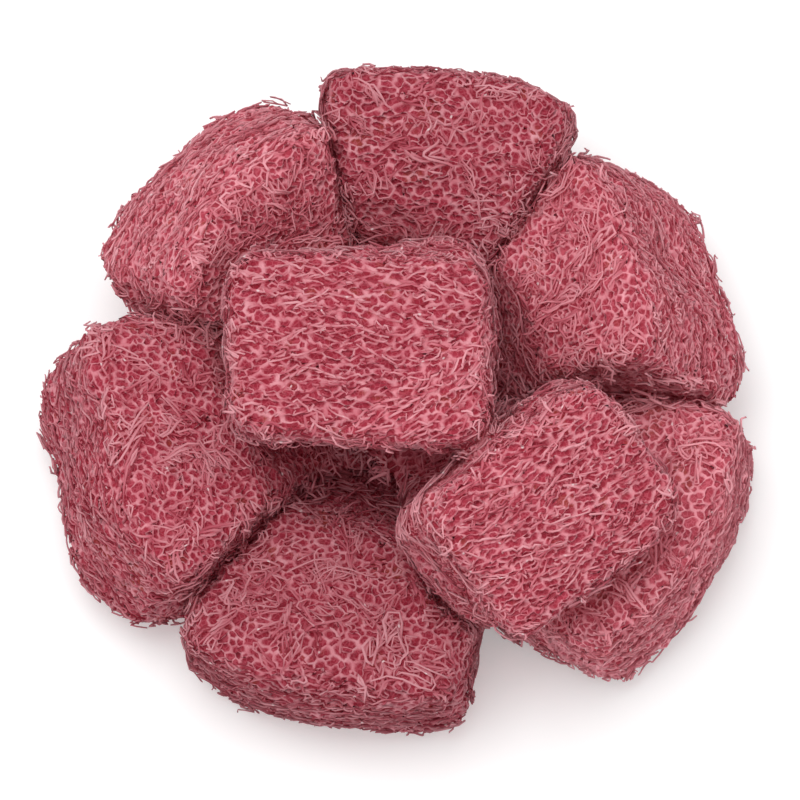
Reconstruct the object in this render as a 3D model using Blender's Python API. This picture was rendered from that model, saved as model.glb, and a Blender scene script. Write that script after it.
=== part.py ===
# Cross buff pad: four crossed strips of lofty abrasive web, pinched together by a threaded eyelet
# and a washer, so that their eight ends spring up and out like the petals of a flower.
# It lies on its back, +Z towards the working side, and every size is in millimetres until it is built.

import math

import bmesh
import bpy
import numpy as np
from mathutils import Matrix

MILLIMETRE = 0.001

# The pad's size, which the ends below are placed by.
PAD_RADIUS = 25.0

# The web that the strips are cut from.
STRIP_WIDTH = 18.0
STRIP_LOFT = 12.5
PINCHED_LOFT = 1.2
GATHERED_WIDTH = 10.0
EDGE_SQUARENESS = 6.5
END_CROWN = 0.7
UNEVENNESS = 0.35

# The fastener.
BORE_RADIUS = 1.75
BARREL_WALL = 0.85
FLANGE_RADIUS = 5.2
FLANGE_THICKNESS = 0.8
FLANGE_HEIGHT = 0.6
WASHER_RADIUS = 4.3
WASHER_THICKNESS = 0.7
ROLL_WIDTH = 0.6
ROLL_HEIGHT = 0.9

# How far pieces that touch stand apart, and how softly one end gives way to the next.
CLEARANCE = 0.3
PRESSED_GAP = 0.28
GIVE = 0.12

# How finely the forms are drawn.
RING_POINTS = 32
FRAME_STEPS = 48
STATIONS = (0.0, 0.06, 0.12, 0.2, 0.3, 0.4, 0.5, 0.6, 0.7, 0.8, 0.88, 0.95)
END_RINGS = (0.95, 0.72, 0.42)
ROUND_STEPS = 40


# Each end of a strip leaves the fastener on a bearing, in degrees anticlockwise from +X.
# Its tip's centre has a reach and a bearing from the axis and a rise above the floor, in shares of the
# pad's radius, and the tip points up by its pitch and along its heading, in degrees. roll turns it on
# its own length. width and loft are shares of the strip's own. In shares of the strip's loft, cup curls
# its two edges towards the working side, petal is how much shorter its corners are than its middle, and
# notch is how deep the cut end is torn in, at the place across the width that notch_at gives.
# sway and flare are how far the end keeps its first and last direction. swell is where along its length
# its back has swollen to full loft, and fold the same for the side that faces the working side. neck is
# how far its root is gathered, and lift is how steeply it leaves the fastener.
def end_of_strip(bearing, reach, tip_bearing, rise, pitch, heading, roll=0.0, width=1.0, loft=1.0,
                 cup=0.0, petal=0.0, notch=0.0, notch_at=0.0, sway=0.4, flare=0.4,
                 fold=0.42, swell=0.55, neck=0.8, lift=0.0):
    return dict(bearing=bearing, reach=reach * PAD_RADIUS, tip_bearing=tip_bearing,
                rise=rise * PAD_RADIUS, pitch=pitch, heading=heading, roll=roll, width=width, loft=loft,
                cup=cup * STRIP_LOFT, petal=petal * STRIP_LOFT, notch=notch * STRIP_LOFT,
                notch_at=notch_at, sway=sway, flare=flare, fold=fold, swell=swell, neck=neck,
                lift=lift)


UPPER_LEFT = end_of_strip(137, 0.8, 133, 0.504, 38, 134, roll=6, width=1.0, loft=0.98, petal=0.2)
TOP = end_of_strip(82, 0.872, 79.5, 0.44, 12, 83, width=0.97, loft=1.0, cup=0.16, petal=0.08)
UPPER_RIGHT = end_of_strip(23, 0.86, 24, 0.452, 33, 25, roll=-10, width=1.2, loft=1.05, cup=0.04,
                           petal=0.29, notch=0.16)
LOWER_RIGHT = end_of_strip(-32, 0.988, -30, 0.24, 8, -30, width=1.13, loft=0.8, cup=-0.04, petal=0.18)
BOTTOM = end_of_strip(257, 0.935, 256.5, 0.22, -2, 260, width=1.1, loft=0.8, cup=0.04, petal=0.14)
LEFT = end_of_strip(197, 0.945, 199, 0.36, 20, 199, width=1.11, loft=1.0, petal=0.18, notch=0.12,
                    notch_at=-0.3)
CENTRE_BLOCK = end_of_strip(106, 0.136, 217, 0.912, 97, 90, roll=-24, loft=1.04, sway=0.3, fold=0.9,
                            swell=0.75, neck=0.5, lift=60)
FRONT_BLOCK = end_of_strip(-50, 0.676, -49, 0.772, 60, -52, width=0.86, fold=0.85, neck=0.5, lift=25)

# The strips from the back to the front, each by its two ends.
STRIPS = {
    "back_strip": (UPPER_LEFT, LOWER_RIGHT),
    "second_strip": (BOTTOM, TOP),
    "third_strip": (LEFT, UPPER_RIGHT),
    "front_strip": (CENTRE_BLOCK, FRONT_BLOCK),
}
# The ends that stand side by side round the rosette, anticlockwise.
ROSETTE = (UPPER_RIGHT, TOP, UPPER_LEFT, LEFT, BOTTOM, LOWER_RIGHT)

BARREL_RADIUS = BORE_RADIUS + BARREL_WALL
PINCH_RADIUS = FLANGE_RADIUS


def level_of(number):
    """The height of the middle of a pinched strip, counted from the back."""
    lowest = FLANGE_HEIGHT + FLANGE_THICKNESS + CLEARANCE + PINCHED_LOFT / 2
    return lowest + number * (PINCHED_LOFT + CLEARANCE)


def ease(x):
    x = np.clip(x, 0.0, 1.0)
    return x * x * (3 - 2 * x)


def along(bearing, pitch=0.0):
    """The unit vector on a bearing, raised by a pitch, both in degrees."""
    turn, lift = math.radians(bearing), math.radians(pitch)
    return np.array((math.cos(lift) * math.cos(turn), math.cos(lift) * math.sin(turn), math.sin(lift)))


def turned(vector, axis, angle):
    """vector turned about a unit axis by an angle in radians."""
    return (vector * math.cos(angle) + np.cross(axis, vector) * math.sin(angle)
            + axis * np.dot(axis, vector) * (1 - math.cos(angle)))


def frames_along(end, level):
    """Centres, directions and width directions of an end, at even steps from its root to its tip."""
    root = along(end["bearing"]) * PINCH_RADIUS + np.array((0, 0, level))
    tip = along(end["tip_bearing"]) * end["reach"] + np.array((0, 0, end["rise"]))
    span = np.linalg.norm(tip - root)
    leaving = root + along(end["bearing"], end["lift"]) * span * end["sway"]
    arriving = tip - along(end["heading"], end["pitch"]) * span * end["flare"]
    s = np.linspace(0, 1, FRAME_STEPS)[:, None]
    centres = ((1 - s) ** 3 * root + 3 * (1 - s) ** 2 * s * leaving
               + 3 * (1 - s) * s ** 2 * arriving + s ** 3 * tip)
    slopes = (3 * (1 - s) ** 2 * (leaving - root) + 6 * (1 - s) * s * (arriving - leaving)
              + 3 * s ** 2 * (tip - arriving))
    slopes /= np.linalg.norm(slopes, axis=1)[:, None]
    across = [along(end["bearing"] + 90)]
    for before, after in zip(slopes, slopes[1:]):
        carried = across[-1] - after * np.dot(across[-1], after)
        across.append(carried / np.linalg.norm(carried))
    roll = math.radians(end["roll"])
    across = [turned(v, t, roll * float(ease(k)))
              for v, t, k in zip(across, slopes, np.linspace(0, 1, FRAME_STEPS))]
    length = np.linalg.norm(np.diff(centres, axis=0), axis=1).sum()
    return centres, slopes, np.array(across), length


def uneven(a, b, s, seed):
    """A slow swelling of the surface, from -1 to 1."""
    return (math.sin(5.1 * a + 3.7 * s + seed) * math.cos(6.3 * s - 2.2 * b + 2 * seed)
            + 0.6 * math.sin(9.7 * s + 4.3 * a * b - seed)) / 1.6


def point_in(end, frames, s, a, b, proud=0.0):
    """The point at share s of an end's length, a across (-1 to 1) and b through (-1 to 1)."""
    centres, slopes, across, length = frames
    torn = end["notch"] * math.exp(-((a - end["notch_at"]) / 0.25) ** 2) * float(ease(s))
    at = min(s, 1.0) * (1 - (torn + end["petal"] * a * a) / length) * (FRAME_STEPS - 1)
    low = min(int(at), FRAME_STEPS - 2)
    mix = at - low
    centre = centres[low] * (1 - mix) + centres[low + 1] * mix
    slope = slopes[low] * (1 - mix) + slopes[low + 1] * mix
    side = across[low] * (1 - mix) + across[low + 1] * mix
    up = np.cross(slope, side)
    up /= np.linalg.norm(up)
    gathered = end["neck"] + (1 - end["neck"]) * float(ease(s / 0.5))
    swollen = float(ease(s / end["swell"]))
    half_width = STRIP_WIDTH / 2 * (1 + (end["width"] - 1) * float(ease(s))) * gathered + proud
    opened = swollen if b < 0 else float(ease(s / end["fold"]))
    half_loft = (PINCHED_LOFT + (STRIP_LOFT * end["loft"] - PINCHED_LOFT) * opened) / 2 + proud
    lump = UNEVENNESS * swollen * uneven(a, b, s, end["bearing"])
    curl = end["cup"] * (a * a - 0.35) * float(ease(s))
    return centre + side * a * (half_width + lump) + up * (b * (half_loft + lump) + curl)


def kept_in_sector(point, first, last):
    """The point moved, if it must be, to lie between two upright planes through the axis."""
    for bearing, sign in ((first, 1), (last, -1)):
        normal = along(bearing + 90) * sign
        depth = np.dot(point, normal) - CLEARANCE / 2
        point = point + normal * (GIVE * np.logaddexp(0.0, depth / GIVE) - depth)
    return point


def sector_of(end):
    """The bearings of the planes between an end and its two neighbours in the rosette."""
    place = next((i for i, other in enumerate(ROSETTE) if other is end), None)
    if place is None:
        return None
    here = end["tip_bearing"]
    after = ROSETTE[(place + 1) % len(ROSETTE)]["tip_bearing"]
    before = ROSETTE[place - 1]["tip_bearing"]
    return here - ((here - before) % 360) / 2, here + ((after - here) % 360) / 2


def ring():
    """Points round the unit section, a rectangle with round corners, as (a, b)."""
    turns = [2 * math.pi * (i + 0.5) / RING_POINTS for i in range(RING_POINTS)]
    power = 2 / EDGE_SQUARENESS
    return [(math.copysign(abs(math.cos(t)) ** power, math.cos(t)),
             math.copysign(abs(math.sin(t)) ** power, math.sin(t))) for t in turns]


def rings_of_end(end, level, proud=0.0):
    """The rings of points of one end, from its root to its tip, and the point that closes it."""
    frames = frames_along(end, level)
    sector = sector_of(end)

    def placed(s, a, b, crown=0.0):
        point = point_in(end, frames, s, a, b, proud) + frames[1][-1] * (crown + (proud if s >= 1 else 0))
        if sector:
            point = kept_in_sector(point, *sector)
            point[2] = GIVE * np.logaddexp(0.0, point[2] / GIVE)
        return point

    rings = [[placed(s, a, b) for a, b in ring()] for s in STATIONS]
    for scale in END_RINGS:
        rings.append([placed(1.0, a * scale, b * scale, END_CROWN * (1 - scale ** 2)) for a, b in ring()])
    return rings, placed(1.0, 0.0, 0.0, END_CROWN)


def strip_mesh(name, ends, level, proud=0.0):
    """One closed strip, from the tip of its first end through the pinch to the tip of its second."""
    first, first_tip = rings_of_end(ends[0], level, proud)
    second, second_tip = rings_of_end(ends[1], level, proud)
    # The first end is walked backwards, so its sections are mirrored to keep their order.
    mirrored = [[r[(RING_POINTS // 2 - 1 - i) % RING_POINTS] for i in range(RING_POINTS)] for r in first]
    side = along(ends[1]["bearing"] + 90)
    middle = [side * a * GATHERED_WIDTH / 2 + np.array((0, 0, level + b * (PINCHED_LOFT / 2 + proud)))
              for a, b in ring()]
    rings = mirrored[::-1] + [middle] + second
    points = [first_tip] + [p for r in rings for p in r] + [second_tip]
    faces = []
    last = len(points) - 1
    for i in range(RING_POINTS):
        j = (i + 1) % RING_POINTS
        faces.append((0, 1 + j, 1 + i))
        start = 1 + (len(rings) - 1) * RING_POINTS
        faces.append((last, start + i, start + j))
        for k in range(len(rings) - 1):
            low, high = 1 + k * RING_POINTS, 1 + (k + 1) * RING_POINTS
            faces.append((low + i, low + j, high + j, high + i))
    mesh = bpy.data.meshes.new(name)
    mesh.from_pydata([tuple(p * MILLIMETRE) for p in points], [], faces)
    mesh.update()
    return mesh


def turned_mesh(name, profile):
    """A solid of revolution about Z from a closed profile of (radius, height) points."""
    points, faces = [], []
    for step in range(ROUND_STEPS):
        turn = 2 * math.pi * step / ROUND_STEPS
        points += [(r * math.cos(turn) * MILLIMETRE, r * math.sin(turn) * MILLIMETRE, z * MILLIMETRE)
                   for r, z in profile]
    count = len(profile)
    for step in range(ROUND_STEPS):
        here, there = step * count, (step + 1) % ROUND_STEPS * count
        for i in range(count):
            j = (i + 1) % count
            faces.append((here + i, there + i, there + j, here + j))
    mesh = bpy.data.meshes.new(name)
    mesh.from_pydata(points, [], faces)
    mesh.update()
    return mesh


def cylinder_mesh(name, radius, height):
    """A round rod about Z, with its middle at the origin."""
    shape = bmesh.new()
    bmesh.ops.create_cone(shape, cap_ends=True, segments=ROUND_STEPS, radius1=radius * MILLIMETRE,
                          radius2=radius * MILLIMETRE, depth=height * MILLIMETRE)
    mesh = bpy.data.meshes.new(name)
    shape.to_mesh(mesh)
    shape.free()
    return mesh


def material(name, colour, roughness, metallic=0.0):
    made = bpy.data.materials.new(name)
    made.use_nodes = True
    shader = made.node_tree.nodes["Principled BSDF"]
    shader.inputs["Base Color"].default_value = (*colour, 1)
    shader.inputs["Roughness"].default_value = roughness
    shader.inputs["Metallic"].default_value = metallic
    made.diffuse_color = (*colour, 1)
    return made


def add_object(name, mesh, look):
    made = bpy.data.objects.new(name, mesh)
    bpy.context.scene.collection.objects.link(made)
    mesh.materials.append(look)
    mesh.shade_smooth()
    mesh.set_sharp_from_angle(angle=math.radians(35))
    return made


def cut_from(target, cutter):
    cutter.hide_render = True
    cutter.display_type = "WIRE"
    cut = target.modifiers.new("cut by " + cutter.name, "BOOLEAN")
    cut.operation = "DIFFERENCE"
    cut.solver = "EXACT"
    cut.use_self = True
    cut.object = cutter


for old in list(bpy.data.objects):
    bpy.data.objects.remove(old)

WEB = (0.52, 0.09, 0.13)
STEEL = (0.55, 0.55, 0.56)

eyelet_steel = material("plated steel", STEEL, 0.35, 1.0)

top_level = level_of(len(STRIPS) - 1) + PINCHED_LOFT / 2 + CLEARANCE
washer_top = top_level + WASHER_THICKNESS

# The hole that the eyelet makes through each strip.
hole = add_object("eyelet_hole", cylinder_mesh("eyelet_hole", BARREL_RADIUS + CLEARANCE, 2 * STRIP_LOFT),
                  eyelet_steel)

# The front strip as the strips behind it feel it, which press round it and stay just clear.
front = len(STRIPS) - 1
presser = add_object("front_strip_presser", strip_mesh("front_strip_presser", STRIPS["front_strip"],
                     level_of(front), proud=PRESSED_GAP), eyelet_steel)

strips = []
for number, (name, ends) in enumerate(STRIPS.items()):
    look = material(name + " web", WEB, 0.85)
    strip = add_object(name, strip_mesh(name, ends, level_of(number)), look)
    if number < front:
        cut_from(strip, presser)
    cut_from(strip, hole)
    strips.append(strip)

flange_top = FLANGE_HEIGHT + FLANGE_THICKNESS
rim = washer_top + CLEARANCE
rolled = BARREL_RADIUS + ROLL_WIDTH
add_object("eyelet", turned_mesh("eyelet", [
    (BORE_RADIUS, FLANGE_HEIGHT), (FLANGE_RADIUS, FLANGE_HEIGHT), (FLANGE_RADIUS, flange_top),
    (BARREL_RADIUS, flange_top), (BARREL_RADIUS, rim), (rolled, rim),
    (rolled, rim + ROLL_HEIGHT / 2), (BARREL_RADIUS, rim + ROLL_HEIGHT), (BORE_RADIUS, rim + ROLL_HEIGHT)]),
    eyelet_steel)
add_object("washer", turned_mesh("washer", [
    (BARREL_RADIUS + CLEARANCE, top_level), (WASHER_RADIUS, top_level),
    (WASHER_RADIUS, washer_top), (BARREL_RADIUS + CLEARANCE, washer_top)]),
    material("washer steel", STEEL, 0.3, 1.0))

# The part is set down with the middle of its outline over the origin and its lowest point on the floor.
corners = np.array([tuple(vertex.co) for strip in strips for vertex in strip.data.vertices])
lowest, highest = corners.min(axis=0), corners.max(axis=0)
middle = (lowest + highest) / 2
for made in bpy.data.objects:
    made.data.transform(Matrix.Translation((-middle[0], -middle[1], -lowest[2])))
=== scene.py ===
import math
import random

import bmesh
import bpy
import numpy as np
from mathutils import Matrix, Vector
from mathutils.bvhtree import BVHTree


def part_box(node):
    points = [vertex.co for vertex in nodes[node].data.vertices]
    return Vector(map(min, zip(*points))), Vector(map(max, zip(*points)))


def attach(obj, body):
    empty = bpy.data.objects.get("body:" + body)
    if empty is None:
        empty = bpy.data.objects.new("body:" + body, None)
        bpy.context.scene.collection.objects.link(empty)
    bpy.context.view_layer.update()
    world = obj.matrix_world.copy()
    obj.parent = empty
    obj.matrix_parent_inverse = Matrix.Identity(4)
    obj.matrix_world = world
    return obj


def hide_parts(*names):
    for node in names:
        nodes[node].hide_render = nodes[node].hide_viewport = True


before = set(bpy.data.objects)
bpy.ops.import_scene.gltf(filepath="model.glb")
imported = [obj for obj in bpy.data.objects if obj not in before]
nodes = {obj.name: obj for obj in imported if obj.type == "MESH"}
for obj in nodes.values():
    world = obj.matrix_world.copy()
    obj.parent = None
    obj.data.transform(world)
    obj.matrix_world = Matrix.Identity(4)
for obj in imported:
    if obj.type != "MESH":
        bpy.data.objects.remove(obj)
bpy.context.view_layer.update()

mm = 0.001
eyeletLow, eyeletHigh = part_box("eyelet")
padAxis = (eyeletLow + eyeletHigh) / 2
padAxis.z = 0.0
print("frame loaded, eyelet axis at", tuple(round(v / mm, 2) for v in padAxis))

# camera, from the fit of the lobes' outlines to the photograph
photo = dict(side=800, metresPerPixel=0.071 * mm, axisAt=(398, 421), elevation=72, distance=0.6, sensor=36)


def addCamera():
    up = math.radians(photo["elevation"])
    looking = Vector((0, math.cos(up), -math.sin(up)))
    right = Vector((1, 0, 0))
    above = right.cross(looking)
    middle = photo["side"] / 2
    aim = (padAxis - right * (photo["axisAt"][0] - middle) * photo["metresPerPixel"]
           - above * (middle - photo["axisAt"][1]) * photo["metresPerPixel"])
    lens = bpy.data.cameras.new("camera")
    lens.sensor_width = photo["sensor"]
    lens.lens = photo["sensor"] * photo["distance"] / (photo["side"] * photo["metresPerPixel"])
    lens.clip_start = 0.01
    camera = bpy.data.objects.new("camera", lens)
    bpy.context.scene.collection.objects.link(camera)
    camera.location = aim - looking * photo["distance"]
    camera.rotation_euler = looking.to_track_quat("-Z", "Y").to_euler()
    bpy.context.scene.camera = camera


addCamera()
print("camera set")


# small helpers for node trees
def addNode(tree, kind, inputs=None, **settings):
    made = tree.nodes.new(kind)
    for name, value in settings.items():
        setattr(made, name, value)
    for key, value in (inputs or {}).items():
        if isinstance(value, bpy.types.NodeSocket):
            tree.links.new(value, made.inputs[key])
        else:
            made.inputs[key].default_value = value
    return made


def sums(tree, operation, *values):
    return addNode(tree, "ShaderNodeMath", dict(enumerate(values)), operation=operation).outputs[0]


def vectors(tree, operation, *values, scale=None):
    inputs = dict(enumerate(values))
    if scale is not None:
        inputs["Scale"] = scale
    made = addNode(tree, "ShaderNodeVectorMath", inputs, operation=operation)
    return made.outputs["Value" if operation in ("DOT_PRODUCT", "LENGTH") else "Vector"]


def attribute(tree, name, kind="FLOAT"):
    return addNode(tree, "GeometryNodeInputNamedAttribute", {"Name": name}, data_type=kind).outputs[0]


def stored(tree, geometry, name, value, kind="FLOAT"):
    return addNode(tree, "GeometryNodeStoreNamedAttribute",
                   {"Geometry": geometry, "Name": name, "Value": value}, data_type=kind).outputs[0]


def aboveFloor(tree, place, lowest):
    parts = addNode(tree, "ShaderNodeSeparateXYZ", {0: place}).outputs
    return addNode(tree, "ShaderNodeCombineXYZ", {0: parts[0], 1: parts[1], 2: sums(
        tree, "MAXIMUM", parts[2], lowest)}).outputs[0]


def addModifier(piece, tree, values):
    made = piece.modifiers.new(tree.name, "NODES")
    made.node_group = tree
    for socket in tree.interface.items_tree:
        if socket.in_out == "INPUT" and socket.name in values:
            made[socket.identifier] = values[socket.name]
    return made


# piece as its modifiers leave it, as a plain mesh object of its own
def applied(name, piece):
    graph = bpy.context.evaluated_depsgraph_get()
    mesh = bpy.data.meshes.new_from_object(piece.evaluated_get(graph), depsgraph=graph)
    mesh.name = name
    made = bpy.data.objects.new(name, mesh)
    bpy.context.scene.collection.objects.link(made)
    return made


# materials
def newMaterial(name):
    made = bpy.data.materials.new(name)
    made.use_nodes = True
    tree = made.node_tree
    shader = tree.nodes["Principled BSDF"]
    return made, tree, shader


def mixed(tree, factor, a, b, blend="MIX"):
    made = addNode(tree, "ShaderNodeMix", data_type="RGBA", blend_type=blend)
    for key, value in ((0, factor), (6, a), (7, b)):
        if isinstance(value, bpy.types.NodeSocket):
            tree.links.new(value, made.inputs[key])
        else:
            made.inputs[key].default_value = value
    return made.outputs[2]


def ramp(tree, factor, stops):
    made = addNode(tree, "ShaderNodeValToRGB", {"Fac": factor})
    band = made.color_ramp
    while len(band.elements) < len(stops):
        band.elements.new(0.5)
    for element, (place, colour) in zip(band.elements, stops):
        element.position = place
        element.color = (*colour, 1)
    return made.outputs["Color"]


# a colour as a screen shows it, 0 to 255, as scene values
def linear(red, green, blue):
    return tuple(((c / 255 + 0.055) / 1.055) ** 2.4 for c in (red, green, blue))


# the pinks of the strands, the reds of the pits, darkened there as painted shade, and a brown painted as
# shade in the hollows between the ends
palePink = linear(227, 156, 165)
midPink = linear(211, 127, 138)
deepPink = linear(197, 92, 108)
crimsonInShade = linear(156, 34, 56)
rust = linear(150, 54, 46)
paintedHollowShade = linear(128, 58, 63)


# the colour made lighter or darker for its end of the strip, as painted light and shade for how that end is
# lit
def withPaintedEndLight(tree, colour, share):
    faded = addNode(tree, "ShaderNodeAttribute", attribute_name="faded").outputs["Fac"]
    paintedPaling = sums(tree, "MULTIPLY", sums(tree, "SUBTRACT", faded, 1.0), share)
    colour = mixed(tree, paintedPaling, colour, (*palePink, 1))
    return vectors(tree, "SCALE", colour, scale=sums(tree, "MINIMUM", faded, sums(
        tree, "MULTIPLY_ADD", faded, 0.5, 0.5)))


# bounced and shadow rays meet plain web of its average colour, and some pass on through it, tinted
def lettingThrough(tree, shader, finish):
    plain = addNode(tree, "ShaderNodeBsdfDiffuse", {"Color": (*finish["average"], 1)})
    clear = addNode(tree, "ShaderNodeBsdfTransparent", {"Color": (*finish["tint"], 1)})
    lofty = addNode(tree, "ShaderNodeMixShader",
                    {0: finish["passing"], 1: plain.outputs[0], 2: clear.outputs[0]})
    ray = addNode(tree, "ShaderNodeLightPath").outputs
    passing = sums(tree, "MAXIMUM", ray["Is Shadow Ray"], ray["Is Diffuse Ray"])
    seen = addNode(tree, "ShaderNodeMixShader", {0: passing, 1: shader.outputs[0], 2: lofty.outputs[0]})
    tree.links.new(seen.outputs[0], tree.nodes["Material Output"].inputs["Surface"])


webFinish = dict(resinScale=2600.0, patchScale=480.0, innerScale=3000.0, fraying=0.7, innerShare=0.45,
                 paintedShadeShare=0.6, bumpStrength=0.5, bumpHeight=0.08 * mm, roughness=0.7, specular=0.3,
                 passing=0.38, tint=(1.0, 0.6, 0.66), average=(0.46, 0.12, 0.15))


# the network of strands: pale along its ridges, red in its pits and darker there as painted shade, with finer
# strands down inside
def webMaterial():
    made, tree, shader = newMaterial("packed web")
    place = addNode(tree, "ShaderNodeTexCoord").outputs["Object"]
    ridge = addNode(tree, "ShaderNodeAttribute", attribute_name="ridge").outputs["Fac"]
    tone = addNode(tree, "ShaderNodeAttribute", attribute_name="tone").outputs["Fac"]
    hollow = addNode(tree, "ShaderNodeAttribute", attribute_name="hollow").outputs["Fac"]
    resin = addNode(tree, "ShaderNodeTexNoise",
                    {"Vector": place, "Scale": webFinish["resinScale"], "Detail": 2.0}).outputs["Fac"]
    patches = addNode(tree, "ShaderNodeTexNoise",
                      {"Vector": place, "Scale": webFinish["patchScale"], "Detail": 2.0}).outputs["Fac"]
    frayed = sums(tree, "MULTIPLY_ADD", sums(tree, "SUBTRACT", resin, 0.5), webFinish["fraying"], ridge)
    strand = addNode(tree, "ShaderNodeMapRange", {"Value": frayed, "From Min": 0.2, "From Max": 0.85},
                     interpolation_type="SMOOTHSTEP").outputs[0]
    cells = addNode(tree, "ShaderNodeTexVoronoi", {"Vector": place, "Scale": webFinish["innerScale"]},
                    feature="DISTANCE_TO_EDGE")
    inner = addNode(tree, "ShaderNodeMapRange",
                    {"Value": cells.outputs["Distance"], "From Min": 0.16, "From Max": 0.04},
                    interpolation_type="SMOOTHSTEP").outputs[0]
    rusty = addNode(tree, "ShaderNodeMapRange",
                    {"Value": patches, "From Min": 0.6, "From Max": 0.7}).outputs[0]
    # painted shade: the pits are darker red than the strands for their depth, with rust patches and finer
    # strands in them
    shadedPit = mixed(tree, rusty, (*crimsonInShade, 1), (*rust, 1))
    shadedPit = mixed(tree, sums(tree, "MULTIPLY", inner, webFinish["innerShare"]), shadedPit, (*deepPink, 1))
    shade = sums(tree, "MULTIPLY_ADD", tone, 0.5, sums(tree, "MULTIPLY", patches, 0.8))
    lit = ramp(tree, shade, [(0.15, deepPink), (0.6, midPink), (1.0, palePink)])
    colour = mixed(tree, strand, shadedPit, lit)
    # painted shade: the web browner where the other strips close in over it
    colour = mixed(tree, sums(tree, "MULTIPLY", hollow, webFinish["paintedShadeShare"]), colour, (*paintedHollowShade, 1))
    # the painted light of each end pales the strands more than the red pits
    colour = withPaintedEndLight(tree, colour, sums(tree, "MULTIPLY_ADD", strand, 0.65, 0.25))
    tree.links.new(colour, shader.inputs["Base Color"])
    height = sums(tree, "MULTIPLY_ADD", inner, 0.5, resin)
    bump = addNode(tree, "ShaderNodeBump", {"Strength": webFinish["bumpStrength"], "Height": height,
                                            "Distance": webFinish["bumpHeight"]})
    tree.links.new(bump.outputs[0], shader.inputs["Normal"])
    shader.inputs["Roughness"].default_value = webFinish["roughness"]
    shader.inputs["Specular IOR Level"].default_value = webFinish["specular"]
    lettingThrough(tree, shader, webFinish)
    return made


fibreFinish = dict(resinScale=1500.0, gritGlintScale=900.0, gritGlintShare=0.6, paintedShadeShare=0.55, paintedEndLightShare=0.7,
                   roughness=0.6, specular=0.3, sheen=0.15, sheenRoughness=0.5, leastGlow=0.15, mostGlow=0.75,
                   passing=0.75, tint=(1.0, 0.7, 0.74), average=(0.5, 0.17, 0.21))


# one crimped fibre, which lets light through: painted paler the higher it stands out, as painted light, with
# specks of grit painted near-white as glints
def fibreMaterial():
    made, tree, shader = newMaterial("web fibre")
    place = addNode(tree, "ShaderNodeTexCoord").outputs["Object"]
    tone = addNode(tree, "ShaderNodeAttribute", attribute_name="tone").outputs["Fac"]
    proud = addNode(tree, "ShaderNodeAttribute", attribute_name="proud").outputs["Fac"]
    hollow = addNode(tree, "ShaderNodeAttribute", attribute_name="hollow").outputs["Fac"]
    resin = addNode(tree, "ShaderNodeTexNoise",
                    {"Vector": place, "Scale": fibreFinish["resinScale"], "Detail": 2.0})
    # painted light: the higher a fibre stands off the web the paler it is, the lower the darker
    shade = sums(tree, "ADD", sums(tree, "MULTIPLY", tone, 0.35), sums(tree, "MULTIPLY", proud, 0.6))
    shade = sums(tree, "ADD", shade, sums(tree, "MULTIPLY", resin.outputs["Fac"], 0.3))
    shade = sums(tree, "SUBTRACT", shade, 0.15)
    colour = ramp(tree, shade, [(0.0, crimsonInShade), (0.3, deepPink), (0.6, midPink), (1.0, palePink)])
    # painted shade: the fibre browner where the other strips close in over it
    paintedShadeAmount = sums(tree, "MULTIPLY", hollow, fibreFinish["paintedShadeShare"])
    colour = mixed(tree, paintedShadeAmount, colour, (*paintedHollowShade, 1))
    colour = withPaintedEndLight(tree, colour, fibreFinish["paintedEndLightShare"])
    # specks of grit painted near-white as painted glints
    gritGlints = addNode(tree, "ShaderNodeTexVoronoi", {"Vector": place, "Scale": fibreFinish["gritGlintScale"]})
    glint = addNode(tree, "ShaderNodeMapRange",
                    {"Value": gritGlints.outputs["Distance"], "From Min": 0.13, "From Max": 0.07})
    sparkle = sums(tree, "MULTIPLY", glint.outputs[0], fibreFinish["gritGlintShare"])
    colour = mixed(tree, sparkle, colour, (0.9, 0.8, 0.8, 1))
    tree.links.new(colour, shader.inputs["Base Color"])
    # matted fibres are shaded partly as the web they lie in
    outward = addNode(tree, "ShaderNodeAttribute", attribute_name="outward").outputs["Vector"]
    side = addNode(tree, "ShaderNodeNewGeometry").outputs["Normal"]
    facing = vectors(tree, "ADD", vectors(tree, "SCALE", side, scale=0.6), outward)
    facing = vectors(tree, "ADD", facing, (0.0, 0.0, 0.8))
    tree.links.new(vectors(tree, "NORMALIZE", facing), shader.inputs["Normal"])
    shader.inputs["Roughness"].default_value = fibreFinish["roughness"]
    shader.inputs["Specular IOR Level"].default_value = fibreFinish["specular"]
    shader.inputs["Sheen Weight"].default_value = fibreFinish["sheen"]
    shader.inputs["Sheen Roughness"].default_value = fibreFinish["sheenRoughness"]
    # the underside of a fibre glows with the light above it
    through = addNode(tree, "ShaderNodeBsdfTranslucent", {"Color": colour})
    level = addNode(tree, "ShaderNodeSeparateXYZ", {0: side}).outputs[2]
    under = addNode(tree, "ShaderNodeMapRange", {
        "Value": level, "From Min": 0.2, "From Max": -0.4, "To Min": fibreFinish["leastGlow"],
        "To Max": fibreFinish["mostGlow"]}).outputs[0]
    lit = addNode(tree, "ShaderNodeMixShader", {0: under, 1: shader.outputs[0], 2: through.outputs[0]})
    lettingThrough(tree, lit, fibreFinish)
    return made


zincFinish = dict(ringScale=2600.0, bloomScale=420.0, dark=(0.50, 0.50, 0.52), light=(0.68, 0.67, 0.64),
                  roughness=dict(eyelet=0.34, washer=0.28), ringStrength=0.25, ringHeight=0.02 * mm)


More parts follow.
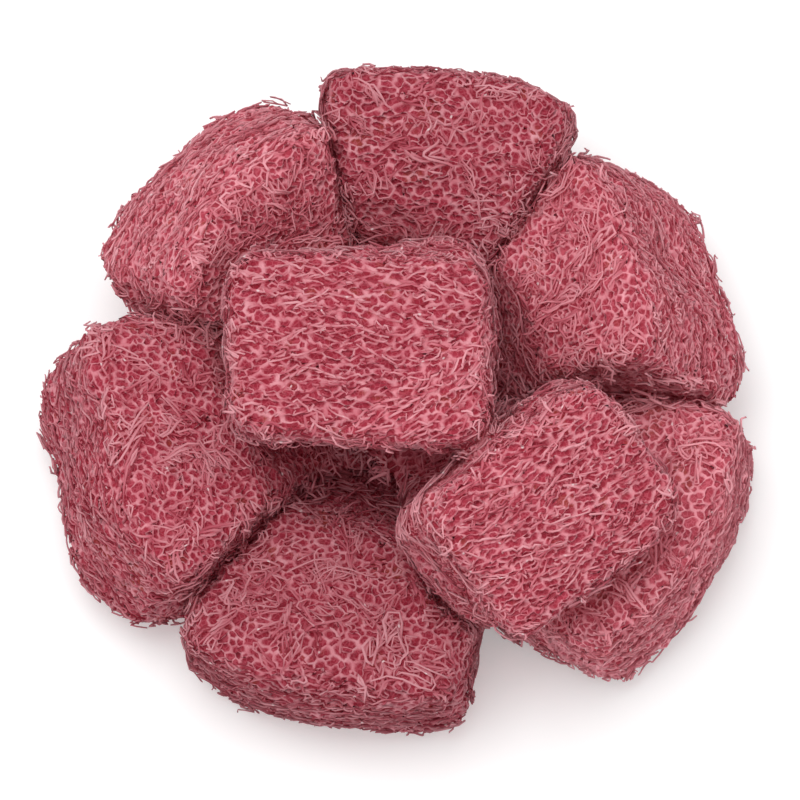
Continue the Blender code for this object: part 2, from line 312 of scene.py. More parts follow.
# zinc plate over turned steel: fine rings about the axis and a faint bloom
def steelMaterial(name, roughness):
    made, tree, shader = newMaterial(name)
    place = addNode(tree, "ShaderNodeTexCoord").outputs["Object"]
    centred = vectors(tree, "SUBTRACT", place, tuple(padAxis))
    rings = addNode(tree, "ShaderNodeTexWave",
                    {"Vector": centred, "Scale": zincFinish["ringScale"], "Distortion": 1.5, "Detail": 2.0},
                    wave_type="RINGS", rings_direction="Z")
    bloom = addNode(tree, "ShaderNodeTexNoise",
                    {"Vector": place, "Scale": zincFinish["bloomScale"], "Detail": 4.0})
    colour = mixed(tree, bloom.outputs["Fac"], (*zincFinish["dark"], 1), (*zincFinish["light"], 1))
    tree.links.new(colour, shader.inputs["Base Color"])
    rough = addNode(tree, "ShaderNodeMapRange", {"Value": bloom.outputs["Fac"], "To Min": roughness - 0.08,
                                                 "To Max": roughness + 0.12})
    tree.links.new(rough.outputs[0], shader.inputs["Roughness"])
    bump = addNode(tree, "ShaderNodeBump",
                   {"Strength": zincFinish["ringStrength"], "Height": rings.outputs["Fac"],
                    "Distance": zincFinish["ringHeight"]})
    tree.links.new(bump.outputs[0], shader.inputs["Normal"])
    shader.inputs["Metallic"].default_value = 1.0
    return made


webLook = webMaterial()
fibreLook = fibreMaterial()
for name, roughness in zincFinish["roughness"].items():
    look = steelMaterial(name + " zinc", roughness)
    for place in nodes[name].material_slots:
        place.material = look
print("materials made")


# the web of each strip: its outer form as a network of strands round small pits
webSizes = dict(pitch=0.54 * mm, smoothing=2, jitter=0.42, sunk=-0.05 * mm, lumpHeight=0.25 * mm,
                lumpSize=3.0 * mm, grainHeight=0.28 * mm, grainSize=1.1 * mm, fray=0.2 * mm, warp=0.22 * mm,
                depth=0.34 * mm, opening=0.53, buried=0.93, fill=0.5)


# a skin's even squares made uneven cells, which become the loops of the network
def cellTree():
    tree = bpy.data.node_groups.new("web cells", "GeometryNodeTree")
    tree.interface.new_socket("Skin", in_out="INPUT", socket_type="NodeSocketGeometry")
    for name, value in (("Jitter", 0.0002), ("Sunk", 0.0001), ("Lump Height", 0.0003), ("Lump Size", 0.003),
                        ("Grain Height", 0.0002), ("Grain Size", 0.001)):
        tree.interface.new_socket(name, in_out="INPUT", socket_type="NodeSocketFloat").default_value = value
    tree.interface.new_socket("Seed", in_out="INPUT", socket_type="NodeSocketInt").default_value = 1
    tree.interface.new_socket("Cells", in_out="OUTPUT", socket_type="NodeSocketGeometry")
    given = tree.nodes.new("NodeGroupInput").outputs
    shift = addNode(tree, "FunctionNodeRandomValue", {0: (-1, -1, -1), 1: (1, 1, 1), "Seed": given["Seed"]},
                    data_type="FLOAT_VECTOR").outputs[0]
    shift = vectors(tree, "SCALE", shift, scale=given["Jitter"])
    upright = addNode(tree, "GeometryNodeInputNormal").outputs[0]
    shift = vectors(tree, "SUBTRACT", shift, vectors(tree, "SCALE", upright, scale=vectors(
        tree, "DOT_PRODUCT", shift, upright)))
    uneven = addNode(tree, "GeometryNodeSetPosition", {"Geometry": given["Skin"], "Offset": shift})
    parted = addNode(tree, "GeometryNodeTriangulate", {0: uneven.outputs[0]})
    cells = addNode(tree, "GeometryNodeDualMesh", {0: parted.outputs[0]})
    place = addNode(tree, "GeometryNodeInputPosition").outputs[0]
    rise = sums(tree, "MULTIPLY", given["Sunk"], -1.0)
    for size, height in (("Lump Size", "Lump Height"), ("Grain Size", "Grain Height")):
        noise = addNode(tree, "ShaderNodeTexNoise", {"Vector": place, "Detail": 1.0,
                                                     "Scale": sums(tree, "DIVIDE", 1.0, given[size])})
        swell = sums(tree, "MULTIPLY", sums(tree, "SUBTRACT", noise.outputs[0], 0.5), given[height])
        rise = sums(tree, "MULTIPLY_ADD", swell, 2.0, rise)
    moved = addNode(tree, "GeometryNodeSetPosition",
                    {"Geometry": cells.outputs[0], "Offset": vectors(tree, "SCALE", upright, scale=rise)})
    smooth = addNode(tree, "GeometryNodeSetShadeSmooth", {"Geometry": moved.outputs[0]})
    end = tree.nodes.new("NodeGroupOutput")
    tree.links.new(smooth.outputs[0], end.inputs[0])
    return tree


# cells sunk to pits, so that their borders are left standing as strands
def pitTree():
    tree = bpy.data.node_groups.new("web body", "GeometryNodeTree")
    tree.interface.new_socket("Cells", in_out="INPUT", socket_type="NodeSocketGeometry")
    for name, value in (("Fray", 0.0002), ("Warp", 0.0002), ("Depth", 0.0003), ("Opening", 0.5)):
        tree.interface.new_socket(name, in_out="INPUT", socket_type="NodeSocketFloat").default_value = value
    tree.interface.new_socket("Seed", in_out="INPUT", socket_type="NodeSocketInt").default_value = 1
    tree.interface.new_socket("Web", in_out="OUTPUT", socket_type="NodeSocketGeometry")
    given = tree.nodes.new("NodeGroupInput").outputs

    def chance(low, high, seed):
        return addNode(tree, "FunctionNodeRandomValue", {2: low, 3: high, "Seed": sums(
            tree, "ADD", given["Seed"], seed)}, data_type="FLOAT").outputs[1]

    upright = addNode(tree, "GeometryNodeInputNormal").outputs[0]
    frayed = addNode(tree, "GeometryNodeSetPosition", {"Geometry": given["Cells"], "Offset": vectors(
        tree, "SCALE", upright, scale=sums(tree, "MULTIPLY", given["Fray"], chance(-0.5, 1.0, 3.0)))})
    web = stored(tree, frayed.outputs[0], "ridge", 1.0)
    web = stored(tree, web, "tone", chance(0.0, 1.0, 5.0))
    down = sums(tree, "MULTIPLY", given["Depth"], chance(-1.5, -0.6, 7.0))
    # no pits deep between the ends, where nearly every way out is blocked
    exposed = addNode(tree, "FunctionNodeCompare", {0: attribute(tree, "hollow"), 1: webSizes["buried"]},
                      operation="LESS_THAN")
    pits = addNode(tree, "GeometryNodeExtrudeMesh", {"Mesh": web, "Selection": exposed.outputs[0],
                                                     "Offset Scale": down, "Individual": True}, mode="FACES")
    wide = sums(tree, "MULTIPLY", given["Opening"], chance(0.6, 1.25, 9.0))
    scaled = addNode(tree, "GeometryNodeScaleElements", {"Geometry": pits.outputs["Mesh"], "Scale": wide,
                                                         "Selection": pits.outputs["Top"]}, domain="FACE")
    web = addNode(tree, "GeometryNodeStoreNamedAttribute", {
        "Geometry": scaled.outputs[0], "Selection": pits.outputs["Top"], "Name": "ridge", "Value": 0.0},
        data_type="FLOAT").outputs[0]
    swirl = addNode(tree, "ShaderNodeTexNoise", {"Scale": 1400.0, "Detail": 0.0}).outputs["Color"]
    swirl = vectors(tree, "SCALE", vectors(tree, "SUBTRACT", swirl, (0.5, 0.5, 0.5)), scale=given["Warp"])
    place = addNode(tree, "GeometryNodeInputPosition").outputs[0]
    rounded = addNode(tree, "GeometryNodeBlurAttribute", {"Value": place, "Iterations": 1, "Weight": 0.3},
                      data_type="FLOAT_VECTOR").outputs[0]
    swirl = vectors(tree, "SCALE", swirl, scale=2.0)
    warped = addNode(tree, "GeometryNodeSetPosition", {"Geometry": web, "Position": rounded, "Offset": swirl})
    resting = addNode(tree, "GeometryNodeSetPosition", {"Geometry": warped.outputs[0],
                                                        "Position": aboveFloor(tree, place, 0.0)})
    smooth = addNode(tree, "GeometryNodeSetShadeSmooth", {"Geometry": resting.outputs[0]})
    whole = addNode(tree, "GeometryNodeRealizeInstances", {"Geometry": smooth.outputs[0]})
    dressed = addNode(tree, "GeometryNodeSetMaterial", {"Geometry": whole.outputs[0], "Material": webLook})
    end = tree.nodes.new("NodeGroupOutput")
    tree.links.new(dressed.outputs[0], end.inputs[0])
    return tree


cellular, pitted = cellTree(), pitTree()


# the strip's CAD form as an even skin, smoothed a little, then parted into cells
def makeCells(name, facts):
    skin = bpy.data.objects.new(name + " skin", nodes[facts["node"]].data.copy())
    bpy.context.scene.collection.objects.link(skin)
    shape = bmesh.new()
    shape.from_mesh(skin.data)
    bmesh.ops.remove_doubles(shape, verts=shape.verts, dist=0.002 * mm)
    shape.to_mesh(skin.data)
    shape.free()
    remesh = skin.modifiers.new("even skin", "REMESH")
    remesh.mode = "VOXEL"
    remesh.voxel_size = webSizes["pitch"]
    remesh.use_smooth_shade = True
    smooth = skin.modifiers.new("rounded", "SMOOTH")
    smooth.factor = 0.5
    smooth.iterations = webSizes["smoothing"]
    addModifier(skin, cellular, {"Jitter": webSizes["jitter"] * webSizes["pitch"], "Sunk": webSizes["sunk"],
                                 "Lump Height": webSizes["lumpHeight"], "Lump Size": webSizes["lumpSize"],
                                 "Grain Height": webSizes["grainHeight"], "Grain Size": webSizes["grainSize"],
                                 "Seed": facts["seed"]})
    made = applied(name + " cells", skin)
    bpy.data.objects.remove(skin)
    return made


# a direction from its angle round the pad and its pitch, in degrees
def bearing(angle, pitch=0.0):
    turn, lift = math.radians(angle), math.radians(pitch)
    return Vector((math.cos(lift) * math.cos(turn), math.cos(lift) * math.sin(turn), math.sin(lift)))


# side points to an end's tip and facing out of its cut end. Fibres run across on the cut end and along on
# the broad sides, the more strictly the smaller faceSpread is. Over 1 an end's colour is painted lighter and
# under 1 darker, as painted light and shade for how the end is lit
strips = {
    "back": dict(node="back_strip", seed=11, ends=[
        dict(side=bearing(137), faded=1.2, facing=bearing(134, 38), along=bearing(134), across=bearing(44),
             faceSpread=1.0),
        dict(side=bearing(-32), faded=1.35, facing=bearing(-31, 8), along=bearing(-31), across=bearing(59),
             faceSpread=1.0)]),
    "second": dict(node="second_strip", seed=23, ends=[
        dict(side=bearing(257), faded=0.82, facing=bearing(260, -2), along=bearing(260), across=bearing(-10),
             faceSpread=1.0),
        dict(side=bearing(81), faded=0.87, facing=bearing(83, 12), along=bearing(83), across=bearing(-7),
             faceSpread=1.0)]),
    "third": dict(node="third_strip", seed=37, ends=[
        dict(side=bearing(197), faded=0.94, facing=bearing(198, 20), along=bearing(198), across=bearing(108),
             faceSpread=1.0),
        dict(side=bearing(23), faded=1.18, facing=bearing(25, 33), along=bearing(50), across=bearing(115),
             faceSpread=0.2)]),
    "front": dict(node="front_strip", seed=51, ends=[
        dict(side=bearing(130), faded=0.94, facing=bearing(90, 97), along=Vector((0, 0.3, 1)),
             across=Vector((1, 0, 0)), faceSpread=0.7),
        dict(side=bearing(-50), faded=1.08, facing=bearing(-52, 60), along=bearing(-52, 60),
             across=bearing(35), faceSpread=0.8)]),
}
# where a strip's ends are told apart, if not at the eyelet's axis
middles = {"front": Vector((0.001, -0.004, 0.0))}


def eased(low, high, x):
    t = min(max((x - low) / (high - low), 0.0), 1.0)
    return t * t * (3 - 2 * t)


def cadTree(node):
    mesh = nodes[node].data
    corners = [v.co.copy() for v in mesh.vertices]
    return BVHTree.FromPolygons(corners, [tuple(p.vertices) for p in mesh.polygons])


shells = {name: cadTree(facts["node"]) for name, facts in strips.items()}

# the shares of cells joined in each pass, on the cut ends and on the broad sides
joining = dict(passes=((0.9, 0.35), (0.3, 0.0)), cutFrom=0.62, strictness=0.8)


# joins neighbouring cells, on the cut ends along their layers and on the broad sides more loosely
def drawOut(cells, facts, middle):
    dice = random.Random(facts["seed"])
    shape = bmesh.new()
    shape.from_mesh(cells.data)
    for onCut, onFace in joining["passes"]:
        joined, crossing = set(), []
        for edge in shape.edges:
            if len(edge.link_faces) != 2 or any(face.index in joined for face in edge.link_faces):
                continue
            first, second = edge.link_faces
            firstMiddle, secondMiddle = first.calc_center_median(), second.calc_center_median()
            here = (firstMiddle + secondMiddle) / 2
            end = max(facts["ends"], key=lambda e: (here - middle).dot(e["side"]))
            cut = (first.normal + second.normal).normalized().dot(end["facing"]) > joining["cutFrom"]
            way = end["across"] if cut else end["along"]
            within = joining["strictness"] if cut else joining["strictness"] * (1 - end["faceSpread"])
            likely = onCut if cut else onFace
            if abs((firstMiddle - secondMiddle).normalized().dot(way)) > within and dice.random() < likely:
                crossing.append(edge)
                joined.update((first.index, second.index))
        bmesh.ops.dissolve_edges(shape, edges=crossing, use_verts=False)
        shape.faces.index_update()
    shape.to_mesh(cells.data)
    shape.free()


# lengths in mm. Shade comes from rays that meet a strip, and rims are the sharpest turns, by percentile
shading = dict(rays=14, lean=1.05, lift=0.9, reach=12, dark=(0.35, 1.0), touchFrom=0.3, touch=1.2,
               touchDark=0.6)
covering = dict(cut=(0.45, 0.8), cutSpread=0.22, underSlope=-0.35, underShare=0.4, darkThins=0.35,
                rims=(76, 95), rimThins=0.9, rimSpread=0.7)
rooting = dict(gain=2.5, start=1.2, cover=2.5, inner=5.5, outer=11, low=1, high=8, steepness=0.8)
# a chink along the line of sight, where the floor would show between the ends
chinkAt = dict(x=7.8, y=1.2, lean=0.325, half=2, high=10, cover=7)


# joins the base's cells, then writes on it how its fibres lie, how thickly, how shaded it is and how light or
# dark its end is painted
def markBase(name, base):
    facts = strips[name]
    dice = random.Random(facts["seed"])
    rays = [Vector((dice.gauss(0, 1), dice.gauss(0, 1), dice.gauss(0, 1))).normalized()
            for _ in range(shading["rays"])]
    others = [shell for other, shell in shells.items() if other != name]
    own = shells[name]
    grain, spread, faceCover, cutCover, hollow, faded = [], [], [], [], [], []
    middle = padAxis + middles.get(name, Vector())
    drawOut(base, facts, middle)
    for vertex in base.data.vertices:
        here, upright = vertex.co, vertex.normal
        end = max(facts["ends"], key=lambda e: (here - middle).dot(e["side"]))
        cut = eased(*covering["cut"], upright.dot(end["facing"]))
        outward = here + upright * shading["lift"] * mm
        touching = here + upright * shading["touchFrom"] * mm
        blocked = any(shell.ray_cast(touching, upright, shading["touch"] * mm)[0] for shell in others)
        hits = 0.0
        for ray in rays:
            way = (ray + upright * shading["lean"]).normalized()
            found = [shell.ray_cast(outward, way, shading["reach"] * mm)[3] for shell in others + [own]]
            nearest = min((d for d in found if d is not None), default=None)
            if nearest is not None:
                hits += 1 - 0.5 * nearest / (shading["reach"] * mm)
        dark = eased(*shading["dark"], hits / len(rays))
        cover = 0.0 if blocked and dark > shading["touchDark"] else 1.0
        cover *= covering["underShare"] if upright.z < covering["underSlope"] else 1.0
        cover *= 1 - covering["darkThins"] * dark
        way = end["across"] if cut > 0.5 else end["along"]
        grain.append(way - upright * way.dot(upright))
        spread.append(covering["cutSpread"] if cut > 0.5 else end["faceSpread"])
        faceCover.append(cover * (1 - cut))
        cutCover.append(cover * cut)
        hollow.append(dark)
        # the end's painted light and shade, carried on to the colour
        faded.append(end["faded"])
    mesh = base.data
    # rims are where the skin turns sharply, measured along its edges
    ends = np.array([tuple(edge.vertices) for edge in mesh.edges])
    normals = np.array([tuple(vertex.normal) for vertex in mesh.vertices])
    bend = 1 - (normals[ends[:, 0]] * normals[ends[:, 1]]).sum(axis=1)
    turning = np.zeros(len(mesh.vertices))
    for _ in range(3):
        total = np.bincount(ends.ravel(), np.repeat(bend, 2), len(turning))
        turning = total / np.maximum(np.bincount(ends.ravel(), minlength=len(turning)), 1)
        bend = turning[ends].mean(axis=1)
    flat, sharp = np.percentile(turning, covering["rims"])
    rim = np.clip((turning - flat) / (sharp - flat), 0, 1)
    rimCover = rim * (np.array(faceCover) + np.array(cutCover))
    faceCover = np.array(faceCover) * (1 - covering["rimThins"] * rim)
    cutCover = np.array(cutCover) * (1 - covering["rimThins"] * rim)
    rootCover = np.clip(np.array(hollow) * rooting["gain"] - rooting["start"], 0, 1)
    places = np.array([tuple(vertex.co - padAxis) for vertex in mesh.vertices]) / mm
    reach = np.hypot(places[:, 0], places[:, 1])
    nearRoot = ((reach > rooting["inner"]) & (reach < rooting["outer"]) & (places[:, 2] > rooting["low"])
                & (places[:, 2] < rooting["high"]) & (abs(normals[:, 2]) < rooting["steepness"]))
    rootCover = np.where(nearRoot, rooting["cover"], rootCover)
    sightLine = places[:, 1] - chinkAt["y"] + chinkAt["lean"] * places[:, 2]
    chink = ((abs(places[:, 0] - chinkAt["x"]) < chinkAt["half"])
             & (abs(sightLine) < chinkAt["half"]) & (places[:, 2] < chinkAt["high"]))
    rootCover = np.where(chink, chinkAt["cover"], rootCover)
    spread = np.maximum(spread, covering["rimSpread"] * rim)
    fields = dict(spread=spread, faceCover=faceCover, cutCover=cutCover, hollow=hollow, rimCover=rimCover,
                  rootCover=rootCover, faded=faded)
    for label, values in fields.items():
        mesh.attributes.new(label, "FLOAT", "POINT").data.foreach_set("value", values)
    mesh.attributes.new("grain", "FLOAT_VECTOR", "POINT").data.foreach_set(
        "vector", np.array([tuple(v) for v in grain]).ravel())


bases = {}
for name, facts in strips.items():
    bases[name] = makeCells(name, facts)
    markBase(name, bases[name])
    print(name, "has", len(bases[name].data.polygons), "cells")


# fibres that lie on a base: each is a wavy line laid in the surface at its own height
def fibreTree():
    tree = bpy.data.node_groups.new("web fibres", "GeometryNodeTree")
    tree.interface.new_socket("Web", in_out="INPUT", socket_type="NodeSocketGeometry")
    cover = tree.interface.new_socket("Cover", in_out="INPUT", socket_type="NodeSocketString")
    cover.default_value = "faceCover"
    for name, value in (("Fibres per mm2", 3.0), ("Length", 0.003), ("Sway", 0.0004), ("Loop", 0.0003),
                        ("Waves", 1.2), ("Lowest", 0.0), ("Highest", 0.0008), ("Heave", 0.0002),
                        ("Lift", 0.0), ("Radius", 0.00008), ("Taper", 0.3), ("Spread", 1.0), ("Stand", 1.0)):
        tree.interface.new_socket(name, in_out="INPUT", socket_type="NodeSocketFloat").default_value = value
    for name, value in (("Points", 8), ("Seed", 1)):
        tree.interface.new_socket(name, in_out="INPUT", socket_type="NodeSocketInt").default_value = value
    tree.interface.new_socket("Fibres", in_out="OUTPUT", socket_type="NodeSocketGeometry")
    given = tree.nodes.new("NodeGroupInput").outputs
    web = given["Web"]

    # one point a fibre, with its own chances
    density = sums(tree, "MULTIPLY", sums(tree, "MULTIPLY", given["Fibres per mm2"], 1e6), addNode(
        tree, "GeometryNodeInputNamedAttribute", {"Name": given["Cover"]}, data_type="FLOAT").outputs[0])
    strewn = addNode(tree, "GeometryNodeDistributePointsOnFaces",
                     {"Mesh": web, "Density": density, "Seed": given["Seed"]}, distribute_method="RANDOM")
    points = strewn.outputs["Points"]
    for number in range(4):
        seed = sums(tree, "ADD", given["Seed"], 101.0 * (number + 1))
        chance = addNode(tree, "FunctionNodeRandomValue", {"Seed": seed}, data_type="FLOAT_VECTOR")
        points = stored(tree, points, f"chance{number}", chance.outputs[0], "FLOAT_VECTOR")
    upright = strewn.outputs["Normal"]
    run = attribute(tree, "grain", "FLOAT_VECTOR")
    run = vectors(tree, "SUBTRACT", run, vectors(tree, "SCALE", upright, scale=vectors(
        tree, "DOT_PRODUCT", run, upright)))
    run = vectors(tree, "NORMALIZE", run)
    beside = vectors(tree, "CROSS_PRODUCT", upright, run)
    first = addNode(tree, "ShaderNodeSeparateXYZ", {0: attribute(tree, "chance0", "FLOAT_VECTOR")}).outputs
    turn = sums(tree, "MULTIPLY", sums(tree, "SUBTRACT", first[0], 0.5), 2 * math.pi)
    turn = sums(tree, "MULTIPLY", turn, sums(tree, "MULTIPLY", attribute(tree, "spread"), given["Spread"]))
    cosine, sine = sums(tree, "COSINE", turn), sums(tree, "SINE", turn)
    ahead = vectors(tree, "ADD", vectors(tree, "SCALE", run, scale=cosine),
                    vectors(tree, "SCALE", beside, scale=sine))
    aside = vectors(tree, "CROSS_PRODUCT", upright, ahead)
    for label, value in (("root", addNode(tree, "GeometryNodeInputPosition").outputs[0]),
                         ("upright", upright), ("ahead", ahead), ("aside", aside)):
        points = stored(tree, points, label, value, "FLOAT_VECTOR")

    # the fibres as curves
    line = addNode(tree, "GeometryNodeCurvePrimitiveLine", {"End": (0, 0, mm)})
    line = addNode(tree, "GeometryNodeResampleCurve", {"Curve": line.outputs[0], "Count": given["Points"]})
    curves = addNode(tree, "GeometryNodeInstanceOnPoints", {"Points": points, "Instance": line.outputs[0]})
    curves = addNode(tree, "GeometryNodeRealizeInstances", {"Geometry": curves.outputs[0]}).outputs[0]
    share = addNode(tree, "GeometryNodeSplineParameter").outputs["Factor"]
    chance = [addNode(tree, "ShaderNodeSeparateXYZ",
                      {0: attribute(tree, f"chance{n}", "FLOAT_VECTOR")}).outputs for n in range(4)]

    def wave(speed, start):
        angle = sums(tree, "MULTIPLY_ADD", share, speed, start)
        return sums(tree, "SINE", sums(tree, "MULTIPLY", angle, 2 * math.pi))

    length = sums(tree, "MULTIPLY", given["Length"], sums(tree, "MULTIPLY_ADD", chance[0][1], 0.9, 0.55))
    speed = sums(tree, "MULTIPLY", given["Waves"], sums(tree, "MULTIPLY_ADD", chance[1][0], 0.8, 0.6))
    forward = sums(tree, "MULTIPLY", sums(tree, "SUBTRACT", share, 0.5), length)
    forward = sums(tree, "ADD", forward, sums(tree, "MULTIPLY", wave(speed, chance[1][1]), sums(
        tree, "MULTIPLY", given["Loop"], sums(tree, "MULTIPLY", chance[2][0], 2.0))))
    swaying = sums(tree, "MULTIPLY_ADD", wave(sums(tree, "MULTIPLY", speed, 2.3), chance[3][2]), 0.4,
                   wave(speed, chance[1][2]))
    sideways = sums(tree, "MULTIPLY", swaying, sums(
        tree, "MULTIPLY", given["Sway"], sums(tree, "MULTIPLY_ADD", chance[2][1], 1.2, 0.4)))
    laid = vectors(tree, "ADD", attribute(tree, "root", "FLOAT_VECTOR"), vectors(
        tree, "SCALE", attribute(tree, "ahead", "FLOAT_VECTOR"), scale=forward))
    laid = vectors(tree, "ADD", laid, vectors(
        tree, "SCALE", attribute(tree, "aside", "FLOAT_VECTOR"), scale=sideways))
    onWeb = addNode(tree, "GeometryNodeProximity", {"Geometry": web, "Sample Position": laid},
                    target_element="FACES").outputs["Position"]
    outOf = addNode(tree, "GeometryNodeSampleNearestSurface",
                    {"Mesh": web, "Value": addNode(tree, "GeometryNodeInputNormal").outputs[0],
                     "Sample Position": laid}, data_type="FLOAT_VECTOR").outputs[0]
    depth = chance[2][2]
    height = sums(tree, "MULTIPLY_ADD", depth, sums(
        tree, "SUBTRACT", given["Highest"], given["Lowest"]), given["Lowest"])
    height = sums(tree, "ADD", height, sums(tree, "MULTIPLY", wave(speed, chance[3][0]), given["Heave"]))
    rising = sums(tree, "MULTIPLY", sums(tree, "MULTIPLY", share, share), given["Lift"])
    height = sums(tree, "ADD", height, sums(
        tree, "MULTIPLY", rising, sums(tree, "MULTIPLY_ADD", chance[3][1], 1.0, 0.3)))
    # a fibre keeps its own plane where the web turns away from under it, so it stands out over an edge
    agree = vectors(tree, "DOT_PRODUCT", outOf, attribute(tree, "upright", "FLOAT_VECTOR"))
    hold = addNode(tree, "ShaderNodeMapRange", {"Value": agree, "From Min": 0.6, "From Max": 0.92},
                   interpolation_type="SMOOTHSTEP").outputs[0]
    lying = vectors(tree, "ADD", onWeb, vectors(tree, "SCALE", outOf, scale=height))
    level = vectors(tree, "ADD", laid, vectors(
        tree, "SCALE", attribute(tree, "upright", "FLOAT_VECTOR"), scale=height))
    stands = sums(tree, "MULTIPLY", sums(tree, "SUBTRACT", 1.0, hold), given["Stand"])
    placed = addNode(tree, "ShaderNodeMix", {0: stands, 4: lying, 5: level}, data_type="VECTOR").outputs[1]
    placed = aboveFloor(tree, placed, given["Radius"])
    curves = addNode(tree, "GeometryNodeSetPosition", {"Geometry": curves, "Position": placed}).outputs[0]
    curves = stored(tree, curves, "tone", chance[0][2])
    curves = stored(tree, curves, "outward", outOf, "FLOAT_VECTOR")
    # its height off the web, which the fibre's colour turns into painted light and shade
    curves = stored(tree, curves, "proud", sums(tree, "DIVIDE", height, given["Highest"]))
    thick = sums(tree, "MULTIPLY", given["Radius"], sums(tree, "MULTIPLY_ADD", chance[3][2], 0.5, 0.75))
    far = sums(tree, "POWER", sums(tree, "ABSOLUTE", sums(tree, "MULTIPLY_ADD", share, 2.0, -1.0)), 3.0)
    thinned = sums(tree, "MULTIPLY", far, given["Taper"])
    thick = sums(tree, "MULTIPLY", thick, sums(tree, "SUBTRACT", 1.0, thinned))
    # three-sided, with a corner down and a side up, so that little but its lit side is seen
    inward = vectors(tree, "SCALE", attribute(tree, "outward", "FLOAT_VECTOR"), scale=-1.0)
    turned = addNode(tree, "GeometryNodeSetCurveNormal", {"Curve": curves, "Normal": inward}, mode="FREE")
    section = addNode(tree, "GeometryNodeCurvePrimitiveCircle", {"Resolution": 3, "Radius": 1.0})
    drawn = addNode(tree, "GeometryNodeCurveToMesh",
                    {"Curve": turned.outputs[0], "Profile Curve": section.outputs[0], "Scale": thick,
                     "Fill Caps": True})
    smooth = addNode(tree, "GeometryNodeSetShadeSmooth", {"Geometry": drawn.outputs[0]})
    whole = addNode(tree, "GeometryNodeRealizeInstances", {"Geometry": smooth.outputs[0]})
    dressed = addNode(tree, "GeometryNodeSetMaterial", {"Geometry": whole.outputs[0], "Material": fibreLook})
    end = tree.nodes.new("NodeGroupOutput")
    tree.links.new(dressed.outputs[0], end.inputs[0])
    return tree


fibres = fibreTree()

# short curly tangle and a few long loops on the broad sides, streaks along the layers of the cut ends, loose
# fibres deep between the ends, and tufts where the web turns sharply
kinds = {
    "tangle": {"Cover": "faceCover", "Fibres per mm2": 0.42, "Length": 1.8 * mm, "Sway": 0.42 * mm,
               "Loop": 0.5 * mm, "Waves": 2.2, "Lowest": -0.05 * mm, "Highest": 0.28 * mm, "Heave": 0.12 * mm,
               "Lift": 0.0, "Radius": 0.085 * mm, "Taper": 0.2, "Spread": 1.0, "Stand": 0.3, "Points": 14},
    "strands": {"Cover": "faceCover", "Fibres per mm2": 0.14, "Length": 3.2 * mm, "Sway": 0.6 * mm,
                "Loop": 0.8 * mm, "Waves": 1.5, "Lowest": 0.05 * mm, "Highest": 0.35 * mm, "Heave": 0.14 * mm,
                "Lift": 0.0, "Radius": 0.09 * mm, "Taper": 0.2, "Spread": 1.0, "Stand": 0.1, "Points": 16},
    "cut_ends": {"Cover": "cutCover", "Fibres per mm2": 0.9, "Length": 2.1 * mm, "Sway": 0.14 * mm,
                 "Loop": 0.3 * mm, "Waves": 1.9, "Lowest": -0.05 * mm, "Highest": 0.22 * mm,
                 "Heave": 0.1 * mm, "Lift": 0.0, "Radius": 0.085 * mm, "Taper": 0.2, "Spread": 0.7,
                 "Stand": 0.5, "Points": 13},
    "roots": {"Cover": "rootCover", "Fibres per mm2": 0.22, "Length": 2.2 * mm, "Sway": 0.6 * mm,
              "Loop": 0.6 * mm, "Waves": 1.8, "Lowest": 0.2 * mm, "Highest": 0.9 * mm, "Heave": 0.3 * mm,
              "Lift": 0.3 * mm, "Radius": 0.1 * mm, "Taper": 0.2, "Spread": 3.0, "Stand": 1.0, "Points": 12},
    "tufts": {"Cover": "rimCover", "Fibres per mm2": 1.15, "Length": 0.8 * mm, "Sway": 0.34 * mm,
              "Loop": 0.4 * mm, "Waves": 1.5, "Lowest": 0.0, "Highest": 0.25 * mm, "Heave": 0.12 * mm,
              "Lift": 0.45 * mm, "Radius": 0.1 * mm, "Taper": 0.3, "Spread": 4.0, "Stand": 1.0, "Points": 10},
}
wantedFields = ("position", "sharp_face", "material_index", "tone", "proud", "hollow", "faded", "outward")
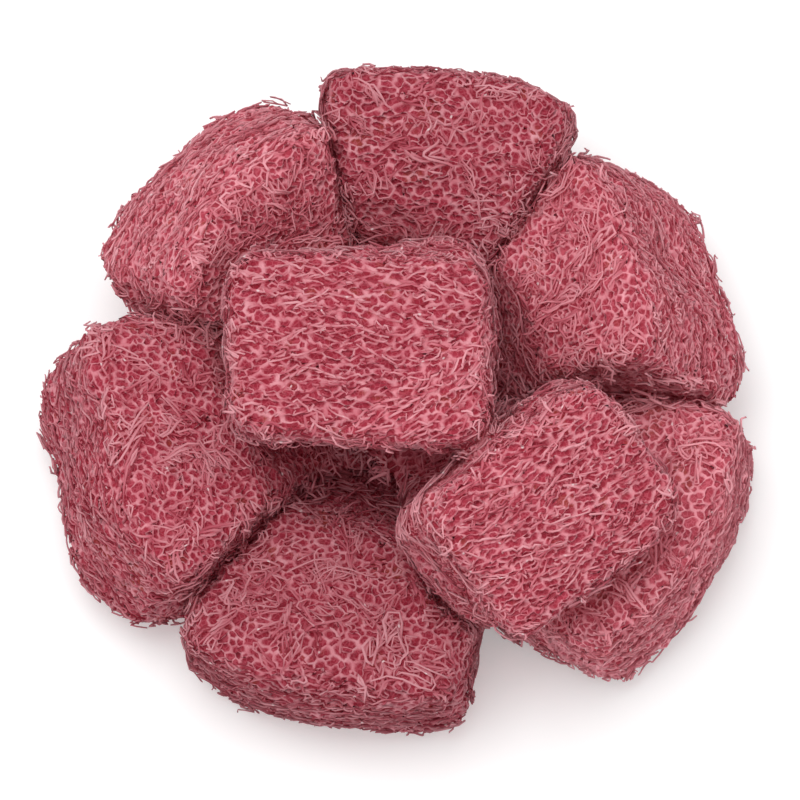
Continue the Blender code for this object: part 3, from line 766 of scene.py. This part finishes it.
for name, facts in strips.items():
    base = bases[name]
    for kind, values in kinds.items():
        live = addModifier(base, fibres, {**values, "Seed": facts["seed"]})
        piece = applied(f"{name}_{kind}", base)
        base.modifiers.remove(live)
        for label in [a.name for a in piece.data.attributes]:
            if label not in wantedFields and not label.startswith("."):
                piece.data.attributes.remove(piece.data.attributes[label])
        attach(piece, "root")
        print(piece.name, "has", sum(len(p.vertices) - 2 for p in piece.data.polygons), "triangles")
    addModifier(base, pitted, {"Fray": webSizes["fray"], "Warp": webSizes["warp"], "Depth": webSizes["depth"],
                               "Opening": webSizes["opening"], "Seed": facts["seed"]})
    body = applied(name + "_web", base)
    bpy.data.objects.remove(base)
    for label in ("grain", "spread", "faceCover", "cutCover", "rimCover", "rootCover"):
        body.data.attributes.remove(body.data.attributes[label])
    print(body.name, "has", sum(len(p.vertices) - 2 for p in body.data.polygons), "triangles")
    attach(body, "root")
    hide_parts(facts["node"])


studio = dict(floorSize=3.0, floorDrop=0.2 * mm, floorGrey=0.82, floorGlow=0.22, floorRoughness=0.9,
              room=0.87, lampPlace=(-0.1, 0.06, 0.6), lampAim=(0, 0, 0.01), lampSize=0.4, lampPower=1.7)


# a light floor and white surroundings
def addStage():
    bpy.ops.mesh.primitive_plane_add(size=studio["floorSize"], location=(0, 0, -studio["floorDrop"]))
    floor = bpy.context.object
    floor.name = "floor"
    look, tree, shader = newMaterial("white floor")
    seen = addNode(tree, "ShaderNodeLightPath").outputs
    direct = sums(tree, "MINIMUM", sums(tree, "ADD", seen["Is Camera Ray"], seen["Is Glossy Ray"]), 1.0)
    grey = studio["floorGrey"]
    shader.inputs["Base Color"].default_value = (grey, grey, grey, 1)
    shader.inputs["Roughness"].default_value = studio["floorRoughness"]
    shader.inputs["Specular IOR Level"].default_value = 0.0
    shader.inputs["Emission Color"].default_value = (1, 1, 1, 1)
    # it glows only for the camera and for glossy rays, so its glow adds no diffuse light
    glow = sums(tree, "MULTIPLY", direct, studio["floorGlow"])
    tree.links.new(glow, shader.inputs["Emission Strength"])
    floor.data.materials.append(look)
    world = bpy.data.worlds.new("white room")
    bpy.context.scene.world = world
    world.use_nodes = True
    world.node_tree.nodes["Background"].inputs["Color"].default_value = (1, 1, 1, 1)
    world.node_tree.nodes["Background"].inputs["Strength"].default_value = studio["room"]


def addLamp():
    lamp = bpy.data.lights.new("key", "AREA")
    lamp.shape = "DISK"
    lamp.size = studio["lampSize"]
    lamp.energy = studio["lampPower"]
    made = bpy.data.objects.new("key", lamp)
    bpy.context.scene.collection.objects.link(made)
    made.location = studio["lampPlace"]
    towards = Vector(studio["lampAim"]) - Vector(studio["lampPlace"])
    made.rotation_euler = towards.to_track_quat("-Z", "Y").to_euler()


addStage()
addLamp()
bpy.context.scene.view_settings.view_transform = "Standard"
print("stage and lamp set")
